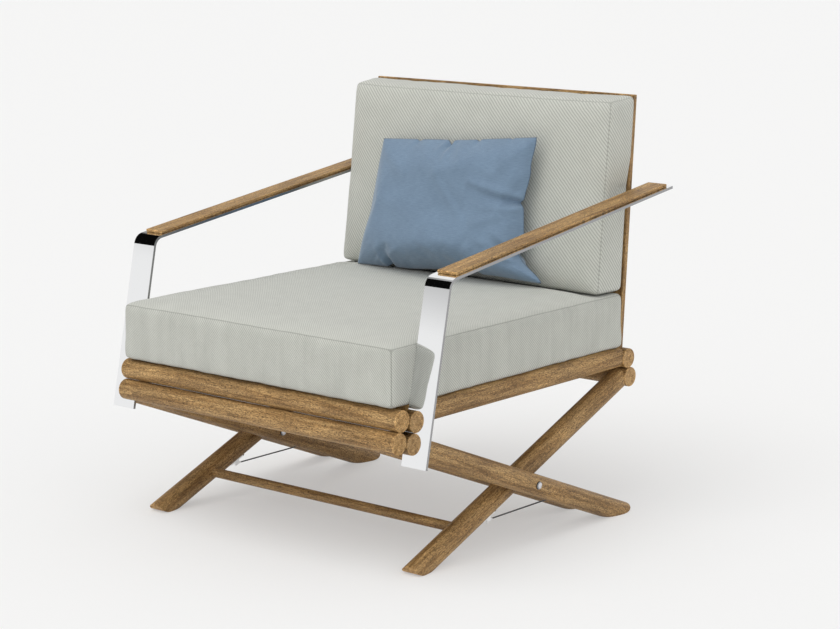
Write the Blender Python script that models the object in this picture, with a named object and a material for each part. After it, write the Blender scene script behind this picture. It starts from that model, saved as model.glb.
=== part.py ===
# Teak garden armchair: crossed round legs, stacked round rails, bent steel arm straps, slatted seat and
# back, two loose cushions and a throw pillow. Metres, Z up, the front of the chair faces -Y.
import math

import bmesh
import bpy
from mathutils import Matrix, Vector

# Driving sizes
FIT = 0.0003
RAIL_HALF_LENGTH = 0.360
FRONT_RAIL_RADIUS = 0.0207
REAR_RAIL_RADIUS = 0.0202
RAIL_RIM = 0.0018
FRONT_RAIL_Y = -0.3884
FRONT_RAIL_Z = 0.2649
FRONT_LEAN = math.radians(11.74)
REAR_RAIL_Y = 0.3443
REAR_RAIL_Z = 0.2661
REAR_LEAN = math.radians(-9.4)
BAR_RADIUS = 0.0215
WASHER_THICKNESS = 0.0022
BOLT_Y = -0.0253
BOLT_Z = 0.1204
BOLT_RADIUS = 0.004
BOLT_HEAD_RADIUS = 0.0082
BOLT_HEAD_HEIGHT = 0.0050
SPOT_FACE_DEPTH = 0.0008
FOOT_FLAT = 0.047
FRONT_TOE_REACH = 0.023
REAR_TOE_REACH = 0.033
TOE_RISE = 0.017
STRETCHER_RADIUS = 0.0098
STRETCHER_Y = -0.1841
STRAP_WIDTH = 0.0579
STRAP_THICKNESS = 0.0055
STRAP_LAP = 0.0069
STRAP_TAIL = 0.0401
STRAP_BEND_START = 0.2906
ARM_SLOPE = math.radians(7.7)
BEND_RADIUS = 0.0244
ARM_REAR_Y = 0.4084
PAD_WIDTH = 0.0451
PAD_THICKNESS = 0.0060
PAD_FRONT_Y = -0.2806
PAD_REAR_SETBACK = 0.0114
SIDE_RAIL_Z = 0.3080
SLAT_COUNT = 8
SLAT_WIDTH = 0.060
SLAT_THICKNESS = 0.016
BACK_SIDE_CLEARANCE = 0.0123
BACK_FOOT_Y = 0.3423
BACK_LEAN = math.radians(4.03)
BACK_THICKNESS = 0.012
BACK_TOP_Z = 0.8412
STILE_WIDTH = 0.045
BACK_RAIL_HEIGHT = 0.050
BACK_SLAT_COUNT = 7
BACK_SLAT_WIDTH = 0.055
STAY_RADIUS = 0.0015
STAY_Z = 0.056
STAY_FRONT_Y = -0.110
STAY_PIN_RADIUS = 0.003
SEAT_FRONT_Y = -0.4010
SEAT_HEIGHT = 0.1125
SEAT_CROWN = 0.0095
BACK_CUSHION_BOTTOM = 0.0882
BACK_CUSHION_TOP = 0.0695
BACK_CUSHION_TOP_Z = 0.8340
PILLOW_HALF_WIDTH = 0.2235
PILLOW_TAPER = 0.0215
PILLOW_HALF_HEIGHT = 0.140
PILLOW_THICKNESS = 0.105
PILLOW_LEAN = math.radians(10.5)
PILLOW_ROLL = math.radians(3.2)

# Positions that follow from the sizes
UP_FRONT = Vector((0, math.sin(FRONT_LEAN), math.cos(FRONT_LEAN)))
BACK_FRONT = Vector((0, math.cos(FRONT_LEAN), -math.sin(FRONT_LEAN)))
UP_REAR = Vector((0, math.sin(REAR_LEAN), math.cos(REAR_LEAN)))
FRONT_LOWER = Vector((0, FRONT_RAIL_Y, FRONT_RAIL_Z))
FRONT_UPPER = FRONT_LOWER + UP_FRONT * (2 * FRONT_RAIL_RADIUS + FIT)
REAR_LOWER = Vector((0, REAR_RAIL_Y, REAR_RAIL_Z))
REAR_UPPER = REAR_LOWER + UP_REAR * (2 * REAR_RAIL_RADIUS + FIT)
BAR_PITCH = 2 * BAR_RADIUS + WASHER_THICKNESS + 2 * FIT
STRAP_INNER_X = RAIL_HALF_LENGTH - STRAP_LAP
STRAP_OUTER_X = STRAP_INNER_X + STRAP_WIDTH
OUTER_BAR_X = (STRAP_INNER_X + STRAP_OUTER_X) / 2 + 0.0014
MIDDLE_BAR_X = OUTER_BAR_X - BAR_PITCH
INNER_BAR_X = MIDDLE_BAR_X - BAR_PITCH
PIVOT = Vector((0, BOLT_Y, BOLT_Z))
STRAP_FACE = FRONT_LOWER + BACK_FRONT * (FRONT_RAIL_RADIUS + FIT)
ARM_ALONG = Vector((0, math.cos(ARM_SLOPE), math.sin(ARM_SLOPE)))
ARM_UP = Vector((0, -math.sin(ARM_SLOPE), math.cos(ARM_SLOPE)))
BACK_UP = Vector((0, math.sin(BACK_LEAN), math.cos(BACK_LEAN)))
BACK_REAR = Vector((0, math.cos(BACK_LEAN), -math.sin(BACK_LEAN)))
BACK_HALF_WIDTH = STRAP_INNER_X - BACK_SIDE_CLEARANCE
BACK_FOOT_Z = REAR_UPPER.z + REAR_RAIL_RADIUS
BACK_HEIGHT = (BACK_TOP_Z - BACK_FOOT_Z) / math.cos(BACK_LEAN)
SEAT_TOP_Z = SIDE_RAIL_Z + BAR_RADIUS
TEAK = ("teak", (0.46, 0.29, 0.14, 1.0), 0.55, 0.0)
STEEL = ("steel", (0.80, 0.80, 0.80, 1.0), 0.08, 1.0)
CUSHION = ("cushion_cloth", (0.60, 0.62, 0.57, 1.0), 0.9, 0.0)
PILLOW = ("pillow_cloth", (0.22, 0.34, 0.52, 1.0), 0.85, 0.0)
SIDES = (("left", -1), ("right", 1))

for old in list(bpy.data.objects):
    bpy.data.objects.remove(old, do_unlink=True)


def dress(obj, finish, smooth):
    label, colour, roughness, metallic = finish
    material = bpy.data.materials.new(obj.name + "_" + label)
    material.use_nodes = True
    shader = material.node_tree.nodes["Principled BSDF"]
    shader.inputs["Base Color"].default_value = colour
    shader.inputs["Roughness"].default_value = roughness
    shader.inputs["Metallic"].default_value = metallic
    obj.data.materials.append(material)
    for face in obj.data.polygons:
        face.use_smooth = smooth


def finish_mesh(name, shape, finish=None, smooth=False):
    bmesh.ops.recalc_face_normals(shape, faces=shape.faces[:])
    mesh = bpy.data.meshes.new(name)
    shape.to_mesh(mesh)
    shape.free()
    obj = bpy.data.objects.new(name, mesh)
    bpy.context.scene.collection.objects.link(obj)
    if finish is None:
        obj.hide_render = True
        obj.display_type = "WIRE"
    else:
        dress(obj, finish, smooth)
    return obj


def add_round(shape, start, end, radius, sides, rim=0.0):
    # a round bar between two points, its end rims eased by rim
    along = end - start
    turn = along.to_track_quat("Z", "Y").to_matrix().to_4x4()
    place = Matrix.Translation((start + end) / 2) @ turn
    made = bmesh.ops.create_cone(shape, cap_ends=True, segments=sides, radius1=radius, radius2=radius,
                                 depth=along.length, matrix=place)
    if rim > 0:
        made_verts = set(made["verts"])
        rims = [edge for edge in shape.edges
                if edge.verts[0] in made_verts and len(edge.link_faces) == 2
                and any(len(face.verts) > 4 for face in edge.link_faces)]
        bmesh.ops.bevel(shape, geom=rims, offset=rim, segments=2, profile=0.5, affect="EDGES")


def round_bar(name, start, end, radius, finish=None, sides=32, rim=0.0):
    shape = bmesh.new()
    add_round(shape, start, end, radius, sides, rim)
    return finish_mesh(name, shape, finish, smooth=True)


def prism(name, outline, x0, x1, finish=None, ease=0.0):
    # an outline in the side view, given as (y, z) pairs, extruded across the chair
    shape = bmesh.new()
    ring = [shape.verts.new((x0, y, z)) for y, z in outline]
    face = shape.faces.new(ring)
    moved = bmesh.ops.extrude_face_region(shape, geom=[face])
    bmesh.ops.translate(shape, verts=[v for v in moved["geom"] if isinstance(v, bmesh.types.BMVert)],
                        vec=(x1 - x0, 0, 0))
    if ease > 0:
        bmesh.ops.recalc_face_normals(shape, faces=shape.faces[:])
        flat = [face for face in shape.faces if abs(face.normal.x) > 0.9]
        edges = list({edge for face in flat for edge in face.edges})
        bmesh.ops.bevel(shape, geom=edges, offset=ease, segments=1, profile=0.5, affect="EDGES")
    return finish_mesh(name, shape, finish)


def add_block(shape, corner, u, v, w, size, ease=0.0):
    # a block from one corner along three directions
    made = bmesh.ops.create_cube(shape, size=1.0)
    middle = corner + (u * size[0] + v * size[1] + w * size[2]) / 2
    place = Matrix((u * size[0], v * size[1], w * size[2])).transposed().to_4x4()
    place.translation = middle
    bmesh.ops.transform(shape, matrix=place, verts=made["verts"])
    if ease > 0:
        edges = list({edge for vert in made["verts"] for edge in vert.link_edges})
        bmesh.ops.bevel(shape, geom=edges, offset=ease, segments=2, profile=0.5, affect="EDGES")


def block(name, corner, u, v, w, size, finish=None, ease=0.0):
    shape = bmesh.new()
    add_block(shape, corner, u, v, w, size, ease)
    return finish_mesh(name, shape, finish)


def add_turned(shape, origin, along, profile, sides, closed=False):
    # a turned shape: profile points are (distance along the axis, radius)
    turn = along.to_track_quat("Z", "Y").to_matrix().to_4x4()
    place = Matrix.Translation(origin) @ turn
    chain = [shape.verts.new((radius, 0, depth)) for depth, radius in profile]
    edges = [shape.edges.new(pair) for pair in zip(chain, chain[1:])]
    if closed:
        edges.append(shape.edges.new((chain[-1], chain[0])))
    before = set(shape.verts) - set(chain)
    bmesh.ops.spin(shape, geom=chain + edges, cent=(0, 0, 0), axis=(0, 0, 1), angle=math.tau,
                   steps=sides, use_merge=True, use_duplicate=False)
    fresh = [vert for vert in shape.verts if vert not in before]
    bmesh.ops.remove_doubles(shape, verts=fresh, dist=0.00001)
    fresh = [vert for vert in shape.verts if vert not in before]
    bmesh.ops.transform(shape, matrix=place, verts=fresh)


def carve(obj, tool, operation="DIFFERENCE"):
    cut = obj.modifiers.new(operation.lower() + "_" + tool.name, "BOOLEAN")
    cut.operation = operation
    cut.solver = "EXACT"
    cut.object = tool


def across(point, x):
    return Vector((x, point.y, point.z))


# Shared hidden tools that cope bar ends round the rails
def rail_tool(name, centre, radius):
    reach = RAIL_HALF_LENGTH * 1.5
    return round_bar(name, across(centre, -reach), across(centre, reach), radius + FIT, sides=48)


front_lower_tool = rail_tool("tool_front_lower", FRONT_LOWER, FRONT_RAIL_RADIUS)
front_upper_tool = rail_tool("tool_front_upper", FRONT_UPPER, FRONT_RAIL_RADIUS)
rear_lower_tool = rail_tool("tool_rear_lower", REAR_LOWER, REAR_RAIL_RADIUS)
rear_upper_tool = rail_tool("tool_rear_upper", REAR_UPPER, REAR_RAIL_RADIUS)


def strap_point(height, depth):
    # a point on the standing part of the strap: height along it, depth behind its front face
    return STRAP_FACE + UP_FRONT * height + BACK_FRONT * depth


def yz(point):
    return (point.y, point.z)


# Cross rails
SCREW_RADIUS = 0.0025
SCREW_LENGTH = 0.016
SCREW_HEAD_RADIUS = 0.0048
SCREW_HEAD_HEIGHT = 0.0020
SCREW_HOLE_EXTRA = 0.0004
tab_screw_x = (STRAP_INNER_X + MIDDLE_BAR_X - BAR_RADIUS) / 2
tab_screw_height = 0.0
rails = {}
for name, centre, radius in (("front_rail_lower", FRONT_LOWER, FRONT_RAIL_RADIUS),
                             ("front_rail_upper", FRONT_UPPER, FRONT_RAIL_RADIUS),
                             ("rear_rail_lower", REAR_LOWER, REAR_RAIL_RADIUS),
                             ("rear_rail_upper", REAR_UPPER, REAR_RAIL_RADIUS)):
    rails[name] = round_bar(name, across(centre, -RAIL_HALF_LENGTH), across(centre, RAIL_HALF_LENGTH),
                            radius, TEAK, rim=RAIL_RIM)

# Crossed legs: a middle bar from the front foot, an inner and an outer bar from the rear foot
END_TRIM = 0.55


def foot_tool(name, top, sign, x, toe_reach):
    # what is taken off a leg at its foot: below the floor, rounded heel, rounded toe
    slope = abs((top.z - PIVOT.z) / (top.y - PIVOT.y))
    angle = math.atan(slope)
    under = BAR_RADIUS / math.cos(angle)
    heel = PIVOT.y + sign * (PIVOT.z - under) / slope
    heel_radius = 0.060
    tangent = heel_radius * math.tan(angle / 2)
    outline = [(heel - sign * (tangent * math.cos(angle) + 0.004), -0.05)]
    for step in range(5):
        turn = angle * (1 - step / 4)
        outline.append((heel + sign * (tangent - heel_radius * math.sin(turn)),
                        heel_radius * (1 - math.cos(turn))))
    flat_end = heel + sign * FOOT_FLAT
    for step in range(6):
        turn = math.radians(90 * step / 5)
        outline.append((flat_end + sign * toe_reach * math.sin(turn), TOE_RISE * (1 - math.cos(turn))))
    tip = flat_end + sign * toe_reach
    outline += [(tip, 0.08), (tip + sign * 0.12, 0.08), (tip + sign * 0.12, -0.05)]
    half = BAR_RADIUS * 1.5
    return prism(name, outline, x - half, x + half)


def leg(name, x, top, sign, end_back, toe_reach):
    # top is the point the bar's axis runs to; end_back stops the bar short of it
    direction = (across(top, 0) - PIVOT).normalized()
    low = PIVOT - direction * 0.40
    high = across(top, 0) - direction * end_back
    bar = round_bar(name, across(low, x), across(high, x), BAR_RADIUS, TEAK)
    carve(bar, foot_tool("tool_foot_" + name, top, sign, x, toe_reach))
    return bar


LEG_A_TOP = REAR_LOWER + Vector((0, 0, 0.0027))
LEG_B_TOP = FRONT_LOWER
bolt_tools = []
for side, sign in SIDES:
    reach = (OUTER_BAR_X + BAR_RADIUS * 2) * sign
    near = (INNER_BAR_X - BAR_RADIUS * 2) * sign
    bolt_tools.append(round_bar("tool_bolt_" + side, across(PIVOT, near), across(PIVOT, reach),
                                BOLT_RADIUS + FIT, sides=16))
strap_tool_outline = [yz(strap_point(-0.09, STRAP_THICKNESS + FIT)),
                      yz(strap_point(0.12, STRAP_THICKNESS + FIT)),
                      yz(strap_point(0.12, -0.09)), yz(strap_point(-0.09, -0.09))]
strap_tool = prism("tool_behind_strap", strap_tool_outline, -0.5, 0.5)
side_tools = []
for side, sign in SIDES:
    start = Vector((sign * MIDDLE_BAR_X, FRONT_RAIL_Y, SIDE_RAIL_Z))
    end = Vector((sign * MIDDLE_BAR_X, REAR_RAIL_Y, SIDE_RAIL_Z))
    side_tools.append(round_bar("tool_side_" + side, start, end, BAR_RADIUS + FIT, sides=48))

for index, (side, sign) in enumerate(SIDES):
    middle = leg("front_foot_leg_" + side, sign * MIDDLE_BAR_X, LEG_A_TOP, -1,
                 REAR_RAIL_RADIUS * END_TRIM, FRONT_TOE_REACH)
    inner = leg("rear_foot_leg_inner_" + side, sign * INNER_BAR_X, LEG_B_TOP, 1,
                FRONT_RAIL_RADIUS * END_TRIM, REAR_TOE_REACH)
    outer = leg("rear_foot_leg_outer_" + side, sign * OUTER_BAR_X, LEG_B_TOP, 1, 0.0,
                REAR_TOE_REACH)
    carve(middle, rear_lower_tool)
    carve(middle, side_tools[index])
    carve(inner, front_lower_tool)
    carve(inner, front_upper_tool)
    carve(outer, strap_tool)
    for bar in (middle, inner, outer):
        carve(bar, bolt_tools[index])
    # flat seats for the bolt heads on the two outer faces of the sandwich
    for bar, face_x, toward in ((outer, OUTER_BAR_X + BAR_RADIUS, 1), (inner, INNER_BAR_X - BAR_RADIUS, -1)):
        start = (face_x - toward * SPOT_FACE_DEPTH) * sign
        end = (face_x + toward * 0.01) * sign
        spot = round_bar("tool_spot_" + bar.name, across(PIVOT, start), across(PIVOT, end),
                         BOLT_HEAD_RADIUS + 0.0012, sides=24)
        carve(bar, spot)


def dome(base, direction, radius, height, shaft, steps=4):
    # profile of a domed head, from its crown to the shaft
    points = []
    for step in range(steps + 1):
        turn = math.radians(90 * step / steps)
        points.append((base + direction * height * math.cos(turn), radius * math.sin(turn)))
    points.append((base, shaft))
    return points


bolt_in = INNER_BAR_X - BAR_RADIUS + SPOT_FACE_DEPTH - FIT
bolt_out = OUTER_BAR_X + BAR_RADIUS - SPOT_FACE_DEPTH + FIT
for side, sign in SIDES:
    shape = bmesh.new()
    profile = dome(bolt_in, -1, BOLT_HEAD_RADIUS, BOLT_HEAD_HEIGHT, BOLT_RADIUS)
    profile += reversed(dome(bolt_out, 1, BOLT_HEAD_RADIUS, BOLT_HEAD_HEIGHT, BOLT_RADIUS))
    add_turned(shape, PIVOT, Vector((sign, 0, 0)), profile, 20)
    finish_mesh("pivot_bolt_" + side, shape, STEEL, smooth=False)

washer_half = WASHER_THICKNESS / 2
washer_outer = 0.0095
for side, sign in SIDES:
    for place, gap_x in (("outer", (OUTER_BAR_X + MIDDLE_BAR_X) / 2),
                         ("inner", (INNER_BAR_X + MIDDLE_BAR_X) / 2)):
        shape = bmesh.new()
        ring = [(-washer_half, BOLT_RADIUS + FIT), (washer_half, BOLT_RADIUS + FIT),
                (washer_half, washer_outer), (-washer_half, washer_outer)]
        add_turned(shape, across(PIVOT, sign * gap_x), Vector((1, 0, 0)), ring, 20, closed=True)
        finish_mesh("pivot_washer_" + place + "_" + side, shape, STEEL)

# Stretcher between the front-foot legs, its ends coped to them
leg_a_rise = (LEG_A_TOP.z - PIVOT.z) / (LEG_A_TOP.y - PIVOT.y)
stretcher_centre = Vector((0, STRETCHER_Y, PIVOT.z + (STRETCHER_Y - PIVOT.y) * leg_a_rise))
stretcher = round_bar("stretcher", across(stretcher_centre, -MIDDLE_BAR_X + BAR_RADIUS * 0.7),
                      across(stretcher_centre, MIDDLE_BAR_X - BAR_RADIUS * 0.7), STRETCHER_RADIUS, TEAK,
                      sides=24)
for side, sign in SIDES:
    along = (across(LEG_A_TOP, 0) - PIVOT).normalized()
    x = sign * MIDDLE_BAR_X
    carve(stretcher, round_bar("tool_stretcher_" + side, across(PIVOT - along * 0.3, x),
                               across(PIVOT, x), BAR_RADIUS + FIT, sides=48))

# Side rails, butted on the strap tabs in front and coped on the upper rear rail
side_rail_rear = REAR_UPPER.y - REAR_RAIL_RADIUS * 0.62
for side, sign in SIDES:
    x = sign * MIDDLE_BAR_X
    rail = round_bar("side_rail_" + side, Vector((x, FRONT_UPPER.y, SIDE_RAIL_Z)),
                     Vector((x, side_rail_rear, SIDE_RAIL_Z)), BAR_RADIUS, TEAK)
    carve(rail, strap_tool)
    carve(rail, rear_upper_tool)
    carve(rail, rear_lower_tool)

# Steel arm straps: tail and face behind the front rails, one bend, straight arm to a free rear tip
arm_top = Vector((0, PAD_FRONT_Y, 0.5717)) - ARM_UP * (PAD_THICKNESS + FIT)
bend_turn = math.pi / 2 - FRONT_LEAN - ARM_SLOPE
corner = STRAP_FACE + UP_FRONT * (STRAP_BEND_START + BEND_RADIUS * math.tan(bend_turn / 2))
arm_top = corner + ARM_ALONG * (arm_top - corner).dot(ARM_ALONG)
bend_centre = STRAP_FACE + UP_FRONT * STRAP_BEND_START + BACK_FRONT * BEND_RADIUS


def bend_arc(radius):
    points = []
    for step in range(9):
        turn = bend_turn * step / 8
        out = -BACK_FRONT * math.cos(turn) + UP_FRONT * math.sin(turn)
        points.append(yz(bend_centre + out * radius))
    return points


arm_tip = corner + ARM_ALONG * ((ARM_REAR_Y - corner.y) / math.cos(ARM_SLOPE))
inner_arc = bend_arc(BEND_RADIUS - STRAP_THICKNESS)
strap_outline = [yz(strap_point(-STRAP_TAIL, 0))] + bend_arc(BEND_RADIUS)
strap_outline += [yz(arm_tip), yz(arm_tip - ARM_UP * STRAP_THICKNESS)]
strap_outline += list(reversed(inner_arc)) + [yz(strap_point(-STRAP_TAIL, STRAP_THICKNESS))]
TAB_LOW = -0.012
TAB_HIGH = 0.0465
TAB_INSET = 0.0005
tab_back = STRAP_THICKNESS - TAB_INSET
tab_outline = [yz(strap_point(TAB_LOW, TAB_INSET)), yz(strap_point(TAB_HIGH, TAB_INSET)),
               yz(strap_point(TAB_HIGH, tab_back)), yz(strap_point(TAB_LOW, tab_back))]
for side, sign in SIDES:
    strap = prism("arm_strap_" + side, strap_outline, sign * STRAP_INNER_X, sign * STRAP_OUTER_X, STEEL)
    tab = prism("tool_tab_" + side, tab_outline, sign * (MIDDLE_BAR_X - BAR_RADIUS),
                sign * (STRAP_INNER_X + 0.01))
    carve(strap, tab, "UNION")
    # one screw through the tab into the lower front rail
    seat = strap_point(tab_screw_height, tab_back)
    seat = across(seat, sign * tab_screw_x)
    hole = round_bar("tool_tab_screw_" + side, seat + BACK_FRONT * 0.01,
                     seat - BACK_FRONT * (SCREW_LENGTH + FIT), SCREW_RADIUS + SCREW_HOLE_EXTRA, sides=12)
    carve(strap, hole)
    carve(rails["front_rail_lower"], hole)
    profile = [(-SCREW_LENGTH, 0), (-SCREW_LENGTH, SCREW_RADIUS), (FIT, SCREW_RADIUS),
               (FIT, SCREW_HEAD_RADIUS), (FIT + SCREW_HEAD_HEIGHT * 0.5, SCREW_HEAD_RADIUS),
               (FIT + SCREW_HEAD_HEIGHT, SCREW_HEAD_RADIUS * 0.6), (FIT + SCREW_HEAD_HEIGHT, 0)]
    screw_shape = bmesh.new()
    add_turned(screw_shape, seat, BACK_FRONT, profile, 16)
    finish_mesh("strap_screw_" + side, screw_shape, STEEL)

# Teak arm pads on the straps
pad_front = corner + ARM_ALONG * ((PAD_FRONT_Y - corner.y) / math.cos(ARM_SLOPE)) + ARM_UP * FIT
pad_length = (ARM_REAR_Y - PAD_REAR_SETBACK - PAD_FRONT_Y) / math.cos(ARM_SLOPE)
pad_inner = (STRAP_INNER_X + STRAP_OUTER_X - PAD_WIDTH) / 2
for side, sign in SIDES:
    start_x = pad_inner if sign > 0 else -pad_inner - PAD_WIDTH
    block("arm_pad_" + side, across(pad_front, start_x), Vector((1, 0, 0)), ARM_ALONG, ARM_UP,
          (PAD_WIDTH, pad_length, PAD_THICKNESS), TEAK, ease=0.0012)

# Seat slats lie between the side rails, their ends coped over them
slat_half = MIDDLE_BAR_X - 0.012
slat_start = FRONT_UPPER.y + FRONT_RAIL_RADIUS
slat_span = REAR_UPPER.y - REAR_RAIL_RADIUS - slat_start
slat_gap = (slat_span - SLAT_COUNT * SLAT_WIDTH) / (SLAT_COUNT + 1)
for number in range(SLAT_COUNT):
    y = slat_start + slat_gap + number * (SLAT_WIDTH + slat_gap)
    slat = block("seat_slat_%d" % (number + 1), Vector((-slat_half, y, SEAT_TOP_Z - SLAT_THICKNESS)),
                 Vector((1, 0, 0)), Vector((0, 1, 0)), Vector((0, 0, 1)),
                 (2 * slat_half, SLAT_WIDTH, SLAT_THICKNESS), TEAK, ease=0.002)
    for tool in side_tools:
        carve(slat, tool)


# Back frame: stiles coped on the upper rear rail, two rails, upright slats between them
def back_point(x, height, depth):
    # height up the back, depth in front of its rear face
    return Vector((x, BACK_FOOT_Y, BACK_FOOT_Z)) + BACK_UP * height - BACK_REAR * depth


def back_piece(name, x0, x1, low, high, depth, thickness):
    return block(name, back_point(x0, low, depth + thickness), Vector((1, 0, 0)), BACK_REAR, BACK_UP,
                 (x1 - x0, thickness, high - low), TEAK, ease=0.0015)


FOOT_OVERLAP = 0.010
for side, sign in SIDES:
    x0 = min(sign * BACK_HALF_WIDTH, sign * (BACK_HALF_WIDTH - STILE_WIDTH))
    stile = back_piece("back_stile_" + side, x0, x0 + STILE_WIDTH, -FOOT_OVERLAP, BACK_HEIGHT, 0,
                       BACK_THICKNESS)
    carve(stile, rear_upper_tool)
rail_half = BACK_HALF_WIDTH - STILE_WIDTH - FIT
LOW_RAIL_HEIGHT = 0.030
back_piece("back_rail_low", -rail_half, rail_half, LOW_RAIL_HEIGHT, LOW_RAIL_HEIGHT + BACK_RAIL_HEIGHT,
           0, BACK_THICKNESS)
back_piece("back_rail_top", -rail_half, rail_half, BACK_HEIGHT - BACK_RAIL_HEIGHT, BACK_HEIGHT, 0,
           BACK_THICKNESS)
slat_low = LOW_RAIL_HEIGHT + BACK_RAIL_HEIGHT + FIT
slat_high = BACK_HEIGHT - BACK_RAIL_HEIGHT - FIT
back_gap = (2 * rail_half - BACK_SLAT_COUNT * BACK_SLAT_WIDTH) / (BACK_SLAT_COUNT + 1)
SLAT_INSET = 0.003
for number in range(BACK_SLAT_COUNT):
    x0 = -rail_half + back_gap + number * (BACK_SLAT_WIDTH + back_gap)
    back_piece("back_slat_%d" % (number + 1), x0, x0 + BACK_SLAT_WIDTH, slat_low, slat_high, SLAT_INSET,
               BACK_THICKNESS - 2 * SLAT_INSET)

# Angle brackets under the straps hold the stiles, with two screws each
BRACKET_THICKNESS = 0.003
BRACKET_LENGTH = 0.024
BRACKET_DROP = 0.026
BRACKET_REACH = 0.030
arm_under = corner - ARM_UP * (STRAP_THICKNESS + FIT)
back_middle_y = BACK_FOOT_Y - BACK_THICKNESS / 2 + 0.318 * math.tan(BACK_LEAN)
bracket_back = arm_under + ARM_ALONG * ((back_middle_y + BRACKET_LENGTH / 2 - corner.y) / math.cos(ARM_SLOPE))
for side, sign in SIDES:
    wall = sign * (BACK_HALF_WIDTH + FIT)
    reach = sign * (BACK_SIDE_CLEARANCE + BRACKET_REACH)
    thick = sign * BRACKET_THICKNESS
    angle = ((wall, 0), (wall + reach, 0), (wall + reach, BRACKET_THICKNESS), (wall + thick, BRACKET_THICKNESS),
             (wall + thick, BRACKET_DROP), (wall, BRACKET_DROP))
    shape = bmesh.new()
    ring = [shape.verts.new(across(bracket_back, x) - ARM_UP * down) for x, down in angle]
    face = shape.faces.new(ring)
    moved = bmesh.ops.extrude_face_region(shape, geom=[face])
    bmesh.ops.translate(shape, verts=[v for v in moved["geom"] if isinstance(v, bmesh.types.BMVert)],
                        vec=-ARM_ALONG * BRACKET_LENGTH)
    bracket = finish_mesh("arm_bracket_" + side, shape, STEEL)
    middle = bracket_back - ARM_ALONG * (BRACKET_LENGTH / 2)
    screw_places = (
        (across(middle - ARM_UP * (BRACKET_DROP * 0.62), wall + sign * BRACKET_THICKNESS),
         Vector((sign, 0, 0)), 0.012, "back_stile_" + side),
        (across(middle - ARM_UP * BRACKET_THICKNESS, sign * (pad_inner + PAD_WIDTH * 0.4)),
         -ARM_UP, 0.0070, "arm_strap_" + side))
    for place, outward, length, host in screw_places:
        hole = round_bar("tool_hole_" + host, place + outward * 0.004, place - outward * (length + FIT),
                         SCREW_RADIUS * 0.8 + SCREW_HOLE_EXTRA, sides=12)
        carve(bracket, hole)
        carve(bpy.data.objects[host], hole)
        head = SCREW_HEAD_RADIUS * 0.8
        profile = [(-length, 0), (-length, SCREW_RADIUS * 0.8), (FIT, SCREW_RADIUS * 0.8), (FIT, head),
                   (FIT + SCREW_HEAD_HEIGHT * 0.5, head), (FIT + SCREW_HEAD_HEIGHT, head * 0.6),
                   (FIT + SCREW_HEAD_HEIGHT, 0)]
        screw_shape = bmesh.new()
        add_turned(screw_shape, place, outward, profile, 12)
        finish_mesh("bracket_screw_" + host, screw_shape, STEEL)

# Stays: plate and lug under the front-foot leg, thin rod, cross pin between the two rear-foot bars
leg_a_along = (across(LEG_A_TOP, 0) - PIVOT).normalized()
leg_a_down = Vector((0, leg_a_along.z, -leg_a_along.y))
leg_b_rise = (LEG_B_TOP.z - PIVOT.z) / (LEG_B_TOP.y - PIVOT.y)
pin_y = PIVOT.y + (STAY_Z - PIVOT.z) / leg_b_rise
PLATE_LENGTH = 0.042
PLATE_WIDTH = 0.013
PLATE_THICKNESS = 0.0025
LUG_WIDTH = 0.005
LUG_LENGTH = 0.012
for side, sign in SIDES:
    x = sign * MIDDLE_BAR_X
    along_leg = (STAY_FRONT_Y - PIVOT.y) / leg_a_along.y
    plate_middle = across(PIVOT + leg_a_along * along_leg + leg_a_down * (BAR_RADIUS + FIT), x)
    shape = bmesh.new()
    add_block(shape, plate_middle - Vector((PLATE_WIDTH / 2, 0, 0)) - leg_a_along * (PLATE_LENGTH / 2),
              Vector((1, 0, 0)), leg_a_along, leg_a_down, (PLATE_WIDTH, PLATE_LENGTH, PLATE_THICKNESS))
    stay = finish_mesh("stay_" + side, shape, STEEL)
    lug_depth = (plate_middle.z - STAY_Z) / leg_a_along.y
    rod_start = plate_middle + leg_a_down * lug_depth
    lug = block("tool_lug_" + side, plate_middle + leg_a_down * (PLATE_THICKNESS / 2)
                - Vector((LUG_WIDTH / 2, 0, 0)) - leg_a_along * (LUG_LENGTH / 2), Vector((1, 0, 0)),
                leg_a_along, leg_a_down, (LUG_WIDTH, LUG_LENGTH, lug_depth - PLATE_THICKNESS / 2 + 0.003))
    rod = round_bar("tool_rod_" + side, rod_start, Vector((x, pin_y, STAY_Z)), STAY_RADIUS, sides=12)
    pin_half = BAR_PITCH - BAR_RADIUS - FIT
    pin = round_bar("tool_pin_" + side, Vector((x - pin_half, pin_y, STAY_Z)),
                    Vector((x + pin_half, pin_y, STAY_Z)), STAY_PIN_RADIUS, sides=16)
    for tool in (lug, rod, pin):
        carve(stay, tool, "UNION")


# Loose cushions: a stack of rounded-rectangle rings, drawn in at the seams, with a crown on both faces
def ring_points(half_x, half_y, corner_radius, inset):
    corner_steps = 4
    side_steps = 8
    hx = half_x - inset
    hy = half_y - inset
    radius = max(corner_radius - inset, 0.3 * corner_radius)
    points = []
    centres = ((hx - radius, hy - radius, 0), (-hx + radius, hy - radius, 90),
               (-hx + radius, -hy + radius, 180), (hx - radius, -hy + radius, 270))
    for index, (cx, cy, start) in enumerate(centres):
        arc = []
        for step in range(corner_steps + 1):
            turn = math.radians(start + 90 * step / corner_steps)
            arc.append((cx + radius * math.cos(turn), cy + radius * math.sin(turn)))
        points += arc
        next_x, next_y, next_start = centres[(index + 1) % 4]
        turn = math.radians(next_start)
        end = (next_x + radius * math.cos(turn), next_y + radius * math.sin(turn))
        for step in range(1, side_steps):
            share = step / side_steps
            points.append((arc[-1][0] + (end[0] - arc[-1][0]) * share,
                           arc[-1][1] + (end[1] - arc[-1][1]) * share))
    return points


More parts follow.
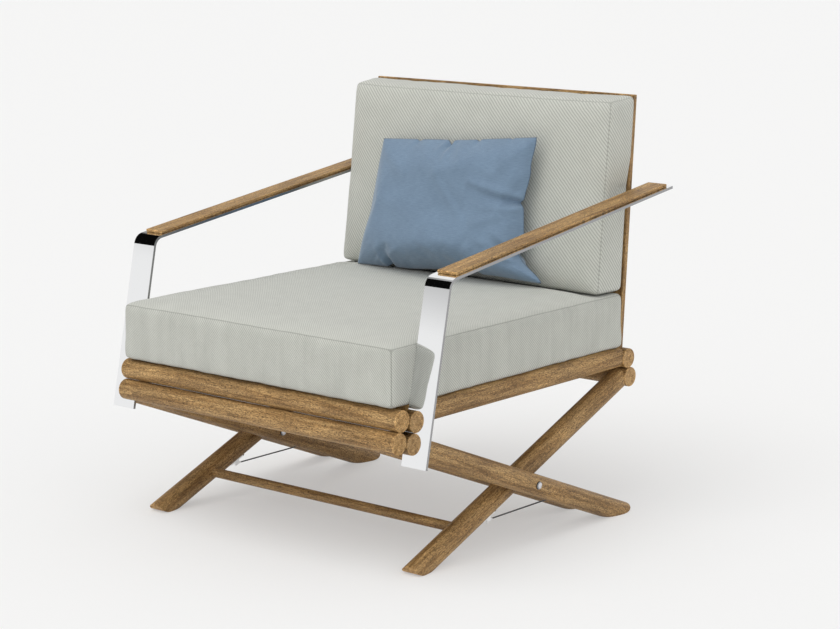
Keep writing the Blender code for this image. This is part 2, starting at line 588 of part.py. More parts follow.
def cushion(name, half_x, half_y, height, sides, top_crown, bottom_crown, corner_radius, reshape, finish):
    # sides lists (share of the height, inset); reshape turns a local point into its place on the chair
    shape = bmesh.new()
    rings = []

    def add_ring(inset, z, shrink=1.0):
        rings.append([shape.verts.new((px * shrink, py * shrink, z))
                      for px, py in ring_points(half_x, half_y, corner_radius, inset)])

    caps = (0.35, 0.7, 0.9)
    first_inset = sides[0][1]
    last_inset = sides[-1][1]
    for shrink in caps:
        add_ring(first_inset, -bottom_crown * (1 - shrink ** 2), shrink)
    for share, inset in sides:
        add_ring(inset, share * height)
    for shrink in reversed(caps):
        add_ring(last_inset, height + top_crown * (1 - shrink ** 2), shrink)
    for low, high in zip(rings, rings[1:]):
        count = len(low)
        for index in range(count):
            following = (index + 1) % count
            shape.faces.new((low[index], low[following], high[following], high[index]))
    for ring, z in ((rings[0], -bottom_crown), (rings[-1], height + top_crown)):
        hub = shape.verts.new((0, 0, z))
        for index in range(len(ring)):
            shape.faces.new((ring[index], ring[(index + 1) % len(ring)], hub))
    for vert in shape.verts:
        vert.co = reshape(vert.co)
    return finish_mesh(name, shape, finish, smooth=True)


def back_front_y(z):
    return BACK_FOOT_Y - BACK_THICKNESS / math.cos(BACK_LEAN) + (z - BACK_FOOT_Z) * math.tan(BACK_LEAN)


seat_bottom = SEAT_TOP_Z + FIT
seat_rear = back_front_y(seat_bottom) - FIT - 0.0004
seat_half_x = STRAP_INNER_X - 0.0006
seat_half_y = (seat_rear - SEAT_FRONT_Y) / 2
seat_middle_y = (seat_rear + SEAT_FRONT_Y) / 2
SIDE_PROFILE = ((0.0, 0.0070), (0.03, 0.0030), (0.10, 0.0012), (0.30, 0.0), (0.60, 0.0), (0.86, 0.0008),
                (0.945, 0.0016), (0.97, 0.0034), (1.0, 0.0080))


def seat_place(point):
    return Vector((point.x, point.y + seat_middle_y, point.z + seat_bottom))


cushion("seat_cushion", seat_half_x, seat_half_y, SEAT_HEIGHT, SIDE_PROFILE, SEAT_CROWN, 0.0, 0.016,
        seat_place, CUSHION)

back_bottom_z = seat_bottom + SEAT_HEIGHT + SEAT_CROWN + FIT
back_cushion_height = BACK_CUSHION_TOP_Z - back_bottom_z
back_half_x = BACK_HALF_WIDTH - 0.0010


def back_place(point):
    # local y is height up the back, local z is depth in front of the back frame
    z = back_bottom_z + point.y + back_cushion_height / 2
    share = (z - back_bottom_z) / back_cushion_height
    depth = BACK_CUSHION_BOTTOM + (BACK_CUSHION_TOP - BACK_CUSHION_BOTTOM) * share
    return Vector((point.x, back_front_y(z) - FIT - point.z * depth / BACK_CUSHION_BOTTOM, z))


cushion("back_cushion", back_half_x, back_cushion_height / 2, BACK_CUSHION_BOTTOM, SIDE_PROFILE, 0.010,
        0.0, 0.012, back_place, CUSHION)

# Throw pillow: pinched corners, fat middle, leaning on the back cushion
PILLOW_STEPS = 14
PILLOW_SIDE_DIP = 0.008
pillow_x = -0.004
pillow_touch_z = 0.640
PILLOW_STAND_OFF = 0.024
PILLOW_SEAT_GAP = 0.0065
touch_share = (pillow_touch_z - back_bottom_z) / back_cushion_height
touch_depth = BACK_CUSHION_BOTTOM + (BACK_CUSHION_TOP - BACK_CUSHION_BOTTOM) * touch_share
pillow_y = back_front_y(pillow_touch_z) - touch_depth - PILLOW_STAND_OFF - PILLOW_THICKNESS / 2
pillow_z = back_bottom_z + PILLOW_HALF_HEIGHT + PILLOW_SEAT_GAP
pillow_turn = (Matrix.Translation((pillow_x, pillow_y, pillow_z)) @ Matrix.Rotation(-PILLOW_LEAN, 4, "X")
               @ Matrix.Rotation(-PILLOW_ROLL, 4, "Y"))
shape = bmesh.new()
faces = {}
for face_sign in (1, -1):
    grid = []
    for row in range(PILLOW_STEPS + 1):
        line = []
        for column in range(PILLOW_STEPS + 1):
            u = -math.cos(math.pi * column / PILLOW_STEPS)
            v = -math.cos(math.pi * row / PILLOW_STEPS)
            on_rim = row in (0, PILLOW_STEPS) or column in (0, PILLOW_STEPS)
            if on_rim and face_sign < 0:
                line.append(faces[1][row][column])
                continue
            x = u * (PILLOW_HALF_WIDTH - PILLOW_TAPER * v - PILLOW_SIDE_DIP * (1 - v * v))
            z = v * (PILLOW_HALF_HEIGHT - PILLOW_SIDE_DIP * (1 - u * u))
            fat = (max(0, 1 - u * u) * max(0, 1 - v * v)) ** 0.42
            line.append(shape.verts.new((x, -face_sign * fat * PILLOW_THICKNESS / 2, z)))
        grid.append(line)
    faces[face_sign] = grid
    for row in range(PILLOW_STEPS):
        for column in range(PILLOW_STEPS):
            shape.faces.new((grid[row][column], grid[row][column + 1], grid[row + 1][column + 1],
                             grid[row + 1][column]))
bmesh.ops.transform(shape, matrix=pillow_turn, verts=shape.verts[:])
finish_mesh("throw_pillow", shape, PILLOW, smooth=True)
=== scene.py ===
import math

import bmesh
import bpy
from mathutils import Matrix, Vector, noise
from mathutils.bvhtree import BVHTree


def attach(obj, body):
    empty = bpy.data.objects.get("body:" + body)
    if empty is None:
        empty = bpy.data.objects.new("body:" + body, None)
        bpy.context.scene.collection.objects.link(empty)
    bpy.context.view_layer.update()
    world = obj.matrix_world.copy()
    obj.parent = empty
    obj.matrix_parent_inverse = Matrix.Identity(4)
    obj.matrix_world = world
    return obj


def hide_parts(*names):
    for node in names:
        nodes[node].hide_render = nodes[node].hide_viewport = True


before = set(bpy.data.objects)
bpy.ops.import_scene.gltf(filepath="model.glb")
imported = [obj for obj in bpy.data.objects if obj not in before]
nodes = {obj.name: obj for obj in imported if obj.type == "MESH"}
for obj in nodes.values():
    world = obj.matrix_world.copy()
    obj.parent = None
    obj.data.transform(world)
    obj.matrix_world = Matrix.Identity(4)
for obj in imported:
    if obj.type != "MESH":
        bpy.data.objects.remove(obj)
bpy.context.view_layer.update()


# camera at the photo's angle
cameraSettings = {
    "place": (2.9716, -3.4668, 1.2821),
    "azimuth": 39.784,
    "elevation": 10.901,
    "lens": 98.376,
    "sensor": 36.0,
}


def makeCamera(cfg):
    data = bpy.data.cameras.new("photoCamera")
    data.lens = cfg["lens"]
    data.sensor_width = cfg["sensor"]
    data.sensor_fit = "HORIZONTAL"
    cam = bpy.data.objects.new("photoCamera", data)
    cam.location = cfg["place"]
    cam.rotation_euler = (math.radians(90 - cfg["elevation"]), 0, math.radians(cfg["azimuth"]))
    bpy.context.scene.collection.objects.link(cam)
    bpy.context.scene.camera = cam


makeCamera(cameraSettings)
print("camera set")


# node helpers: a value that comes from another node is linked, any other value is set
def setSocket(tree, socket, value):
    if isinstance(value, bpy.types.NodeSocket):
        tree.links.new(value, socket)
    else:
        socket.default_value = value


def setInputs(tree, node, values):
    for name, value in values.items():
        setSocket(tree, node.inputs[name], value)


def addNode(tree, kind, **values):
    node = tree.nodes.new(kind)
    for key, value in values.items():
        if key in node.inputs:
            setSocket(tree, node.inputs[key], value)
        else:
            setattr(node, key, value)
    return node


def newMaterial(name):
    mat = bpy.data.materials.new(name)
    mat.use_nodes = True
    return mat, mat.node_tree, mat.node_tree.nodes["Principled BSDF"]


def mathNode(tree, operation, first, second=None, third=None, clamp=False):
    node = addNode(tree, "ShaderNodeMath", operation=operation, use_clamp=clamp)
    for index, value in enumerate((first, second, third)):
        if value is not None:
            setSocket(tree, node.inputs[index], value)
    return node.outputs[0]


def vectorMath(tree, operation, first, second):
    node = addNode(tree, "ShaderNodeVectorMath", operation=operation)
    setSocket(tree, node.inputs[0], first)
    setSocket(tree, node.inputs[3 if operation == "SCALE" else 1], second)
    return node.outputs["Value" if operation == "DOT_PRODUCT" else "Vector"]


def mapRange(tree, value, fromRange, toRange=(0.0, 1.0), smooth=False):
    node = addNode(tree, "ShaderNodeMapRange")
    node.interpolation_type = "SMOOTHSTEP" if smooth else "LINEAR"
    setInputs(tree, node, {"Value": value, "From Min": fromRange[0], "From Max": fromRange[1],
                           "To Min": toRange[0], "To Max": toRange[1]})
    return node.outputs[0]


def mixColor(tree, factor, first, second, blend="MIX"):
    node = addNode(tree, "ShaderNodeMix", data_type="RGBA", blend_type=blend)
    for index, value in ((0, factor), (6, first), (7, second)):
        setSocket(tree, node.inputs[index], value)
    return node.outputs[2]


def mixShader(tree, factor, first, second):
    node = addNode(tree, "ShaderNodeMixShader")
    for socket, value in zip(node.inputs, (factor, first, second)):
        tree.links.new(value, socket)
    return node.outputs[0]


def rampNode(tree, factor, stops):
    # each stop is a place and a tone, and a tone is a colour or one level of grey
    colors = [tone if isinstance(tone, tuple) else (tone, tone, tone, 1) for _, tone in stops]
    places = [place for place, _ in stops]
    node = addNode(tree, "ShaderNodeValToRGB")
    elements = node.color_ramp.elements
    elements[0].position, elements[0].color = places[0], colors[0]
    elements[1].position, elements[1].color = places[-1], colors[-1]
    for place, color in zip(places[1:-1], colors[1:-1]):
        extra = elements.new(place)
        extra.color = color
    tree.links.new(factor, node.inputs[0])
    return node.outputs["Color"]


def noiseNode(tree, place, scale, detail, roughness, stretch=(1, 1, 1)):
    # noise over a place, stretched along an axis where its share is below one
    aim = addNode(tree, "ShaderNodeMapping", Vector=place, Scale=stretch)
    return addNode(tree, "ShaderNodeTexNoise", Vector=aim.outputs[0],
                   Scale=scale, Detail=detail, Roughness=roughness)


# floor, backdrop and soft studio light
studioSettings = {
    "floorColor": (0.90, 0.90, 0.895, 1),
    "floorRoughness": 0.85,
    "floorSpecular": 0.1,
    "floorGlow": 0.42,
    "floorReach": 60.0,
    "backColor": (0.895, 0.895, 0.895, 1),
    "skyLevel": 0.68,
    # what polished steel sees: pale walls, a dark corner up on the left and a dark ceiling
    "glossPale": 0.95,
    "glossDark": 0.003,
    "leftward": (-1.0, -0.15, 0.0),
    "cornerSide": (0.600, 0.640),
    "cornerHeight": (0.12, 0.18),
    "ceiling": (0.84, 0.88),
    "lamps": [
        # name, from, strength, softness in degrees, colour
        ("keyLamp", (-0.25, -0.75, 1.70), 0.95, 48, (1.0, 0.995, 0.985)),
        ("frontLamp", (0.10, -1.20, 0.55), 0.35, 70, (1.0, 1.0, 1.0)),
        ("sideLamp", (1.20, -0.30, 0.60), 0.40, 70, (1.0, 1.0, 1.0)),
    ],
    "lampDistance": 3,
}


def makeSky(cfg):
    world = bpy.data.worlds.new("studioWorld")
    bpy.context.scene.world = world
    world.use_nodes = True
    tree = world.node_tree
    tree.nodes.clear()
    way = addNode(tree, "ShaderNodeTexCoord").outputs["Generated"]
    height = addNode(tree, "ShaderNodeSeparateXYZ", Vector=way).outputs["Z"]
    leftward = vectorMath(tree, "DOT_PRODUCT", way, cfg["leftward"])
    corner = mathNode(tree, "MULTIPLY", mapRange(tree, height, cfg["cornerHeight"]),
                      mapRange(tree, leftward, cfg["cornerSide"]))
    dark = mathNode(tree, "MAXIMUM", corner, mapRange(tree, height, cfg["ceiling"]))
    level = mapRange(tree, dark, (0.0, 1.0), (cfg["glossPale"], cfg["glossDark"]))
    plain = addNode(tree, "ShaderNodeBackground", Color=(1, 1, 1, 1), Strength=cfg["skyLevel"])
    glossy = addNode(tree, "ShaderNodeBackground", Color=level)
    backdrop = addNode(tree, "ShaderNodeBackground", Color=cfg["backColor"])
    path = addNode(tree, "ShaderNodeLightPath")
    lit = mixShader(tree, path.outputs["Is Glossy Ray"], plain.outputs[0], glossy.outputs[0])
    seen = mixShader(tree, path.outputs["Is Camera Ray"], lit, backdrop.outputs[0])
    addNode(tree, "ShaderNodeOutputWorld", Surface=seen)


def makeLamps(cfg):
    for name, way, strength, softness, colour in cfg["lamps"]:
        lamp = bpy.data.lights.new(name, "SUN")
        lamp.energy = strength
        lamp.angle = math.radians(softness)
        lamp.color = colour
        obj = bpy.data.objects.new(name, lamp)
        obj.location = Vector(way) * cfg["lampDistance"]
        obj.rotation_euler = Vector(way).to_track_quat("Z", "Y").to_euler()
        obj.visible_glossy = False
        bpy.context.scene.collection.objects.link(obj)


def makeFloor(cfg):
    bm = bmesh.new()
    bmesh.ops.create_grid(bm, x_segments=1, y_segments=1, size=cfg["floorReach"])
    mesh = bpy.data.meshes.new("studioFloor")
    bm.to_mesh(mesh)
    bm.free()
    mat, tree, shader = newMaterial("paleFloor")
    setInputs(tree, shader, {"Base Color": cfg["floorColor"], "Roughness": cfg["floorRoughness"],
                             "Specular IOR Level": cfg["floorSpecular"]})
    # a little glow, for the eye and in mirrors only, joins the floor to the backdrop
    path = addNode(tree, "ShaderNodeLightPath")
    seen = mathNode(tree, "MAXIMUM", path.outputs["Is Camera Ray"], path.outputs["Is Glossy Ray"])
    share = mathNode(tree, "MULTIPLY", seen, cfg["floorGlow"])
    glow = addNode(tree, "ShaderNodeEmission", Color=cfg["backColor"])
    surface = mixShader(tree, share, shader.outputs[0], glow.outputs[0])
    tree.links.new(surface, tree.nodes["Material Output"].inputs["Surface"])
    mesh.materials.append(mat)
    floor = bpy.data.objects.new("studioFloor", mesh)
    bpy.context.scene.collection.objects.link(floor)


bpy.context.scene.view_settings.view_transform = "Standard"
makeSky(studioSettings)
makeLamps(studioSettings)
makeFloor(studioSettings)
print("studio ready")


# teak: brown ground in slow bands, with long dark pores and pale fibres along the grain
teakSettings = {
    "light": (0.485, 0.310, 0.132, 1),
    "middle": (0.362, 0.218, 0.086, 1),
    "dark": (0.235, 0.130, 0.045, 1),
    "pore": (0.060, 0.028, 0.009, 1),
    "roughness": 0.42,
    "roughSpread": 0.22,
    "specular": 0.35,
    "grainDepth": 0.0006,
    "grainStrength": 0.35,
    "poreShare": 0.72,
    "layerShare": 0.85,
    # every piece is cut from its own place in the pattern
    "seedStep": (0.37, 0.11, 0.23),
    # layers of noise: scale, detail, roughness, share along the grain
    "layers": {
        "bands": (120.0, 3.0, 0.55, 1 / 14),
        "fibres": (700.0, 4.0, 0.65, 1 / 14),
        "pores": (820.0, 2.0, 0.55, 0.24),
        "specks": (560.0, 3.0, 0.70, 0.45),
        "slow": (9.0, 2.0, 0.50, 1.0),
    },
    "bandPlaces": (0.32, 0.48, 0.66),
    "fibreTones": ((0.32, 0.48), (0.52, 1.0), (0.70, 1.45)),
    "poreTones": ((0.39, 1.0), (0.47, 0.0)),
    "speckTones": ((0.34, 0.55), (0.50, 1.0), (0.68, 1.50)),
    "slowTints": ((0.35, (0.86, 0.84, 0.82)), (0.65, (1.12, 1.10, 1.06))),
    # sawn ends are made paler, and the eased rims get a painted highlight
    "paleEndsRimHighlightTones": ((0.15, 1.0), (0.50, 1.75), (0.92, 1.60), (0.98, 1.34)),
}


def makeTeak(name, grainWay, seed, tint):
    cfg = teakSettings
    mat, tree, shader = newMaterial(name)
    grain = Vector(grainWay).normalized()
    aim = addNode(tree, "ShaderNodeMapping",
                  Vector=addNode(tree, "ShaderNodeTexCoord").outputs["Object"],
                  Rotation=grain.to_track_quat("X", "Z").inverted().to_euler(),
                  Location=[seed * step for step in cfg["seedStep"]])
    layer = {}
    for kind, (scale, detail, roughness, share) in cfg["layers"].items():
        made = noiseNode(tree, aim.outputs[0], scale, detail, roughness, (share, 1, 1))
        layer[kind] = made.outputs["Fac"]

    grounds = zip(cfg["bandPlaces"], (cfg["dark"], cfg["middle"], cfg["light"]))
    tone = rampNode(tree, layer["bands"], list(grounds))
    fibres = rampNode(tree, layer["fibres"], cfg["fibreTones"])
    tone = mixColor(tree, cfg["layerShare"], tone, fibres, "MULTIPLY")
    pores = mathNode(tree, "MULTIPLY", rampNode(tree, layer["pores"], cfg["poreTones"]),
                     cfg["poreShare"])
    tone = mixColor(tree, pores, tone, cfg["pore"])
    specks = rampNode(tree, layer["specks"], cfg["speckTones"])
    tone = mixColor(tree, cfg["layerShare"], tone, specks, "MULTIPLY")
    tints = [(place, (*[tint * channel for channel in color], 1))
             for place, color in cfg["slowTints"]]
    tone = mixColor(tree, 1.0, tone, rampNode(tree, layer["slow"], tints), "MULTIPLY")
    # painted highlight on the eased rims and paler sawn ends, by how far a face turns to the
    # grain
    facing = addNode(tree, "ShaderNodeNewGeometry").outputs["Normal"]
    endShare = mathNode(tree, "ABSOLUTE", vectorMath(tree, "DOT_PRODUCT", facing, grain))
    paleEndsRimHighlight = rampNode(tree, endShare, cfg["paleEndsRimHighlightTones"])
    tone = mixColor(tree, 1.0, tone, paleEndsRimHighlight, "MULTIPLY")

    rough = mathNode(tree, "MULTIPLY_ADD", layer["fibres"], cfg["roughSpread"], cfg["roughness"])
    height = mathNode(tree, "SUBTRACT", mathNode(tree, "MULTIPLY", layer["fibres"], 0.5), pores)
    bump = addNode(tree, "ShaderNodeBump", Strength=cfg["grainStrength"],
                   Distance=cfg["grainDepth"], Height=height)
    setInputs(tree, shader, {"Base Color": tone, "Roughness": rough, "Normal": bump.outputs[0],
                             "Specular IOR Level": cfg["specular"]})
    return mat


# slopes of the pieces in the side view; legs run from the pivot to their upper ends (y, z)
pivotPlace = Vector((-0.0253, 0.1204))
frontFootLegTop = Vector((0.3443, 0.2688))
rearFootLegTop = Vector((-0.3884, 0.2649))
armSlope = math.radians(7.7)
backLean = math.radians(4.03)
upTheBack = (0, math.sin(backLean), math.cos(backLean))
teakParts = [
    # start of the node's name, way of its grain, tint
    ("front_rail", (1, 0, 0), 1.0),
    ("rear_rail", (1, 0, 0), 1.0),
    ("stretcher", (1, 0, 0), 0.95),
    ("side_rail", (0, 1, 0), 1.0),
    ("front_foot_leg", (0, *(frontFootLegTop - pivotPlace)), 0.97),
    ("rear_foot_leg", (0, *(rearFootLegTop - pivotPlace)), 0.97),
    ("arm_pad", (0, math.cos(armSlope), math.sin(armSlope)), 1.12),
    ("seat_slat", (1, 0, 0), 1.0),
    ("back_rail", (1, 0, 0), 1.0),
    ("back_slat", upTheBack, 1.0),
    ("back_stile", upTheBack, 1.0),
]


# steel: near mirror with a breath of fine wiping marks
steelSettings = {
    "polished": (0.86, 0.865, 0.87, 1),
    "sheared": (0.36, 0.36, 0.365, 1),
    "shearedFrom": 0.90,
    "shearedRough": 0.22,
    "rod": (0.11, 0.11, 0.115, 1),
    "plateFrom": -0.086,
    "washer": (0.22, 0.22, 0.225, 1),
    "dome": (0.66, 0.66, 0.675, 1),
    # dark rim colour of the bolt heads: painted shade and a painted dark reflection
    "rim": (0.05, 0.048, 0.046, 1),
    "paintedRimShadeRange": (0.60, 0.90),
    "markDetail": 3.0,
    "markRoughness": 0.6,
    # wiping marks of each kind: least roughness, what they add, scale
    "marks": {
        "polishedSteel": (0.020, 0.03, 60.0),
        "strapSteel": (0.020, 0.03, 60.0),
        "washerSteel": (0.200, 0.03, 60.0),
        "rodSteel": (0.260, 0.10, 140.0),
        "boltSteel": (0.070, 0.0, 60.0),
    },
}
steelParts = [
    # start of the node's name, kind of steel; the last line takes all others
    ("stay", "rodSteel"),
    ("pivot_bolt", "boltSteel"),
    ("pivot_washer", "washerSteel"),
    ("arm_strap", "strapSteel"),
    ("", "polishedSteel"),
]


def makeSteel(name):
    cfg = steelSettings
    mat, tree, shader = newMaterial(name)
    place = addNode(tree, "ShaderNodeTexCoord").outputs["Object"]
    facing = addNode(tree, "ShaderNodeNewGeometry").outputs["Normal"]
    split = addNode(tree, "ShaderNodeSeparateXYZ", Vector=facing)
    sideways = mathNode(tree, "ABSOLUTE", split.outputs["X"])
    least, added, scale = cfg["marks"][name]
    marks = noiseNode(tree, place, scale, cfg["markDetail"], cfg["markRoughness"])
    rough = mathNode(tree, "MULTIPLY_ADD", marks.outputs["Fac"], added, least)
    tone = cfg["washer"] if name == "washerSteel" else cfg["polished"]
    if name == "strapSteel":
        # the sheared sides of the strap are darker and duller than its faces
        sheared = mathNode(tree, "GREATER_THAN", sideways, cfg["shearedFrom"])
        tone = mixColor(tree, sheared, cfg["polished"], cfg["sheared"])
        rough = mathNode(tree, "MULTIPLY_ADD", sheared, cfg["shearedRough"], rough)
    if name == "rodSteel":
        # dull dark rods with a bright plate where they meet the front-foot legs
        lengthwise = addNode(tree, "ShaderNodeSeparateXYZ", Vector=place).outputs["Y"]
        plate = mathNode(tree, "LESS_THAN", lengthwise, cfg["plateFrom"])
        tone = mixColor(tree, plate, cfg["rod"], cfg["polished"])
    if name == "boltSteel":
        # domed heads: bright in the middle, and towards the rim, where they meet the wood,
        # darkened by painted shade and a painted dark reflection
        middle = mapRange(tree, sideways, cfg["paintedRimShadeRange"], smooth=True)
        tone = mixColor(tree, middle, cfg["rim"], cfg["dome"])
    setInputs(tree, shader, {"Base Color": tone, "Roughness": rough, "Metallic": 1.0})
    return mat


def dressNode(name, mat):
    obj = nodes[name]
    if obj.material_slots:
        for slot in obj.material_slots:
            slot.material = mat
    else:
        obj.data.materials.append(mat)


def dressFrame():
    steels = {kind: makeSteel(kind) for _, kind in steelParts}
    seed = 0
    for name in sorted(nodes):
        if name in ("seat_cushion", "back_cushion", "throw_pillow"):
            continue
        grains = [(way, tint) for start, way, tint in teakParts if name.startswith(start)]
        if grains:
            seed += 1
            way, tint = grains[0]
            dressNode(name, makeTeak("teak_" + name, way, seed, tint))
        else:
            kinds = [kind for start, kind in steelParts if name.startswith(start)]
            dressNode(name, steels[kinds[0]])


dressFrame()
print("frame dressed")


# cloth: the pattern runs on each panel's own flat measure, in metres
clothSettings = {
    # the panels' measure wavers a little: noise, then how far in metres
    "wobble": (55.0, 2.0, 0.5),
    "wobbleReach": 0.0022,
}
twillSettings = {
    "pale": (0.605, 0.612, 0.562, 1),
    "gap": (0.285, 0.292, 0.258, 1),
    "seam": (0.190, 0.196, 0.172, 1),
    "plainGapShare": 0.22,
    "turn": math.radians(-45),
    "threadPitch": 0.0026,
    "threadSlant": 0.55,
    # height of the weave: shares of ribs, threads and fuzz
    "ribShare": 0.70,
    "threadShare": 0.30,
    "fuzzShare": 0.55,
    "ribDepth": 0.0011,
    "gapTo": 0.10,
    "paleFrom": 0.62,
    # noise: scale, detail, roughness
    "fuzz": (900.0, 3.0, 0.7),
    "clouds": (26.0, 3.0, 0.55),
    "cloudTones": ((0.3, 0.97), (0.7, 1.03)),
    "seamWidth": 0.0020,
    "seamTones": ((0.35, 1.0), (0.95, 0.0)),
    "seamDepth": 0.7,
    "weaveDepth": 0.8,
    "gatherNoise": (1.0, 2.0, 0.5),
    "gatherStretch": (32, 5, 1),
    "gatherPlaces": (0.32, 0.68),
    "gatherDepth": 0.0045,
    "roughness": 0.92,
    "specular": 0.2,
    "sheen": 0.22,
    "sheenRoughness": 0.5,
    # each kind: pitch of the ribs, how strong ribs and seam line show, strength of the painted
    # shade in the gathers (no gathers at zero)
    "kinds": {
        "twillBack": (0.0058, 0.76, 0.35, 0.0),
        "twillTop": (0.0036, 0.55, 0.50, 0.0),
        "twillSide": (0.0040, 0.75, 0.50, 0.10),
    },
}


def panelCoords(tree, turn):
    uv = addNode(tree, "ShaderNodeUVMap", uv_map="panel").outputs[0]
    wobble = noiseNode(tree, uv, *clothSettings["wobble"])
    centred = vectorMath(tree, "SUBTRACT", wobble.outputs["Color"], (0.5, 0.5, 0.5))
    small = vectorMath(tree, "SCALE", centred, clothSettings["wobbleReach"])
    moved = vectorMath(tree, "ADD", uv, small)
    spin = addNode(tree, "ShaderNodeMapping", Vector=moved, Rotation=(0, 0, turn))
    split = addNode(tree, "ShaderNodeSeparateXYZ", Vector=spin.outputs[0])
    return spin.outputs[0], split.outputs["X"], split.outputs["Y"]


def wave(tree, along, pitch):
    angle = mathNode(tree, "MULTIPLY", along, 2 * math.pi / pitch)
    return mathNode(tree, "MULTIPLY_ADD", mathNode(tree, "SINE", angle), 0.5, 0.5)


def makeTwill(name):
    cfg = twillSettings
    pitch, strength, seamStrength, gatherShade = cfg["kinds"][name]
    mat, tree, shader = newMaterial(name)
    flat, across, along = panelCoords(tree, cfg["turn"])
    # each rib is a row of slanted stitches
    ribs = mathNode(tree, "MULTIPLY", wave(tree, across, pitch), cfg["ribShare"])
    slant = mathNode(tree, "MULTIPLY_ADD", across, cfg["threadSlant"], along)
    threads = wave(tree, slant, cfg["threadPitch"])
    height = mathNode(tree, "MULTIPLY_ADD", threads, cfg["threadShare"], ribs)
    fuzz = noiseNode(tree, flat, *cfg["fuzz"])
    loose = mathNode(tree, "SUBTRACT", fuzz.outputs["Fac"], 0.5)
    shade = mathNode(tree, "MULTIPLY_ADD", loose, cfg["fuzzShare"], height)
    tone = rampNode(tree, shade, ((cfg["gapTo"], cfg["gap"]), (cfg["paleFrom"], cfg["pale"])))
    share = cfg["plainGapShare"]
    plain = [gap * share + pale * (1 - share) for gap, pale in zip(cfg["gap"], cfg["pale"])]
    tone = mixColor(tree, strength, plain, tone)
    cloud = noiseNode(tree, flat, *cfg["clouds"])
    clouds = rampNode(tree, cloud.outputs["Fac"], cfg["cloudTones"])
    tone = mixColor(tree, 1.0, tone, clouds, "MULTIPLY")
    bump = addNode(tree, "ShaderNodeBump", Strength=0.55 * strength + 0.1,
                   Distance=cfg["ribDepth"])
    if gatherShade:
        # faint gathers run up and down the side panels, with painted shade in their hollows
        panel = addNode(tree, "ShaderNodeUVMap", uv_map="panel").outputs[0]
        made = noiseNode(tree, panel, *cfg["gatherNoise"], cfg["gatherStretch"])
        gather = made.outputs["Fac"]
        # painted shade: the hollows of the gathers are darker
        paintedGatherShade = rampNode(tree, gather, list(zip(cfg["gatherPlaces"], (1 - gatherShade, 1.0))))
        tone = mixColor(tree, 1.0, tone, paintedGatherShade, "MULTIPLY")
        folds = addNode(tree, "ShaderNodeBump", Strength=1.0, Distance=cfg["gatherDepth"],
                        Height=gather)
        setInputs(tree, bump, {"Normal": folds.outputs[0]})
    seam = addNode(tree, "ShaderNodeAttribute", attribute_name="seamDistance")
    edge = mathNode(tree, "DIVIDE", seam.outputs["Fac"], cfg["seamWidth"], clamp=True)
    seamMask = rampNode(tree, edge, cfg["seamTones"])
    tone = mixColor(tree, mathNode(tree, "MULTIPLY", seamMask, seamStrength), tone, cfg["seam"])
    deep = mathNode(tree, "SUBTRACT", mathNode(tree, "MULTIPLY", shade, cfg["weaveDepth"]),
                    mathNode(tree, "MULTIPLY", seamMask, cfg["seamDepth"]))
    setInputs(tree, bump, {"Height": deep})
    setInputs(tree, shader, {"Base Color": tone, "Roughness": cfg["roughness"],
                             "Specular IOR Level": cfg["specular"], "Sheen Weight": cfg["sheen"],
                             "Sheen Roughness": cfg["sheenRoughness"],
                             "Normal": bump.outputs[0]})
    return mat


# box cushions: six panels meet in seams along the twelve edges
puffSettings = {
    # from this share of the half width on, a point has the rounding of the slim side
    "slimFrom": 0.3,
    # how squarely a panel fills out: a side as one power, the crown as power and easing
    "sidePower": 4,
    "crownPower": 2.6,
    "crownEase": 0.7,
}


def boxGrid(cfg):
    bm = bmesh.new()
    bmesh.ops.create_cube(bm, size=1.0)
    low = Vector(cfg["low"])
    high = Vector(cfg["high"])
    size = high - low
    bmesh.ops.scale(bm, vec=size, verts=bm.verts[:])
    bmesh.ops.translate(bm, vec=(low + high) / 2, verts=bm.verts[:])
    for axis in range(3):
        along = [e for e in bm.edges
                 if abs((e.verts[0].co - e.verts[1].co)[axis]) > 0.9 * size[axis]]
        bmesh.ops.subdivide_edges(bm, edges=along, cuts=cfg["grid"][axis] - 1, use_grid_fill=True)
    bmesh.ops.recalc_face_normals(bm, faces=bm.faces[:])
    return bm, low, high


def layPanels(bm, low, high, seamLimit=0.05):
    # every panel gets its flat measure as UV, every point its way to the nearest seam
    uv = bm.loops.layers.uv.new("panel")
    seam = bm.verts.layers.float.new("seamDistance")
    for face in bm.faces:
        axis = max(range(3), key=lambda i: abs(face.normal[i]))
        first, second = [(1, 2), (0, 2), (0, 1)][axis]
        for loop in face.loops:
            loop[uv].uv = (loop.vert.co[first], loop.vert.co[second])
    for vert in bm.verts:
        gaps = sorted(min(vert.co[i] - low[i], high[i] - vert.co[i]) for i in range(3))
        vert[seam] = min(gaps[1], seamLimit)


def puffBox(bm, low, high, cfg):
    # rounded edges, then crowned panels
    half = (high - low) / 2
    middle = (high + low) / 2
    slimAxis, slimWay, slimRound = cfg["slimSide"]
    crownAxis, crownWay, crown = cfg["crownSide"]
    sidePower, crownPower = puffSettings["sidePower"], puffSettings["crownPower"]
    for vert in bm.verts:
        local = vert.co - middle
        share = Vector([local[i] / half[i] for i in range(3)])
        slim = share[slimAxis] * slimWay > puffSettings["slimFrom"]
        radius = slimRound if slim else cfg["round"]
        inner = Vector([max(-(half[i] - radius), min(half[i] - radius, local[i]))
                        for i in range(3)])
        out = local - inner
        if out.length > 1e-7:
            local = inner + out.normalized() * radius
        swell = Vector((0.0, 0.0, 0.0))
        for axis in range(3):
            if abs(share[axis]) < 0.999:
                continue
            first, second = [abs(share[i]) for i in range(3) if i != axis]
            if axis != crownAxis:
                amount = cfg["sideFill"] * (1 - first ** sidePower) * (1 - second ** sidePower)
            elif share[axis] * crownWay > 0:
                amount = (1 - first ** crownPower) * (1 - second ** crownPower)
                amount = crown * amount ** puffSettings["crownEase"]
            else:
                amount = 0.0
            swell[axis] = math.copysign(max(amount, 0.0), share[axis])
        vert.co = middle + local + swell


inflation = {
    "quality": 4,
    "mass": 0.25,
    "tension_stiffness": 18,
    "compression_stiffness": 18,
    "shear_stiffness": 8,
    "use_pressure": True,
}


